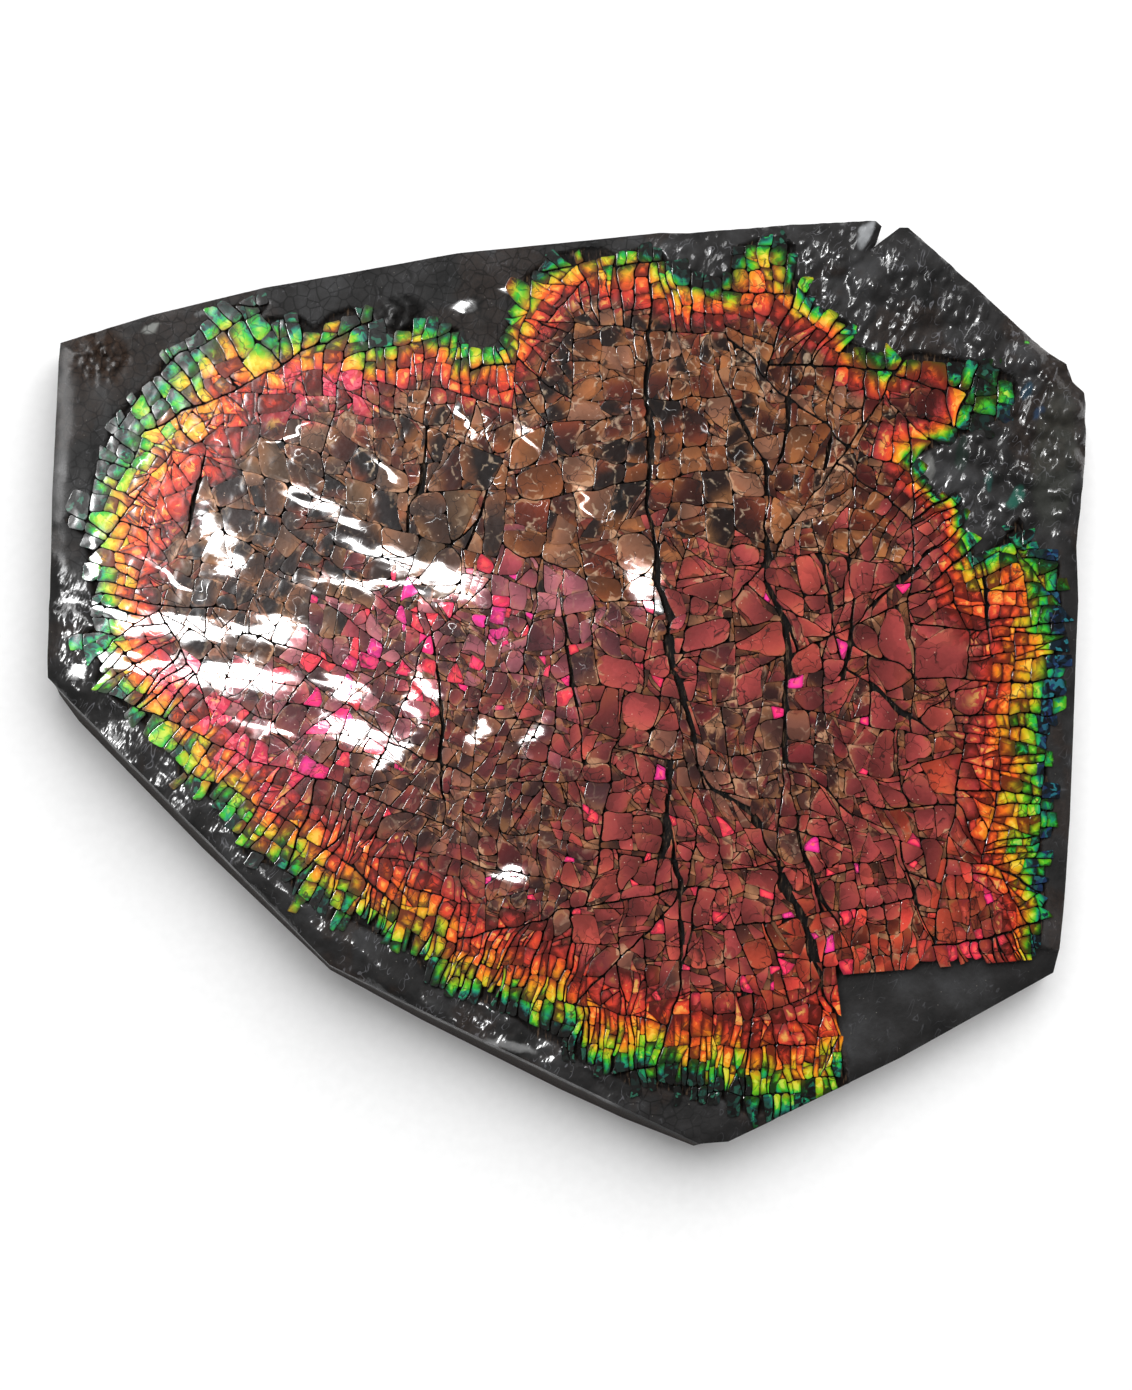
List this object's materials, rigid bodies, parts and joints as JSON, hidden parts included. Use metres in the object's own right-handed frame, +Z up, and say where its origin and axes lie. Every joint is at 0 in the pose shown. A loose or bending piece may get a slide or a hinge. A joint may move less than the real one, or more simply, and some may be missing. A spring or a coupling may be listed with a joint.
{
  "type": "ammolite specimen",
  "caption": "Sawn slab of dark shale with a sheet of cracked iridescent ammonite shell in its face, lying flat.",
  "frame": {"origin": "middle of the specimen's bounding box in plan, on the flat sawn underside", "axes": "+Z up out of the iridescent face, +X to the right and +Y towards the long top edge, seen from above"},
  "size_m": [0.1146, 0.1026, 0.009],
  "materials": {
    "shale": "charcoal grey shale with brown patches, glossy under a clear coat on its face, duller on the sawn sides",
    "ammolite": "cracked nacre under a glossy clear coat: maroon and brown plates, with an orange, yellow, green and blue rim"
  },
  "bodies": {
    "root": {"matrix_slab": "shale", "ammolite_sheet": "ammolite"}
  },
  "joints": []
}
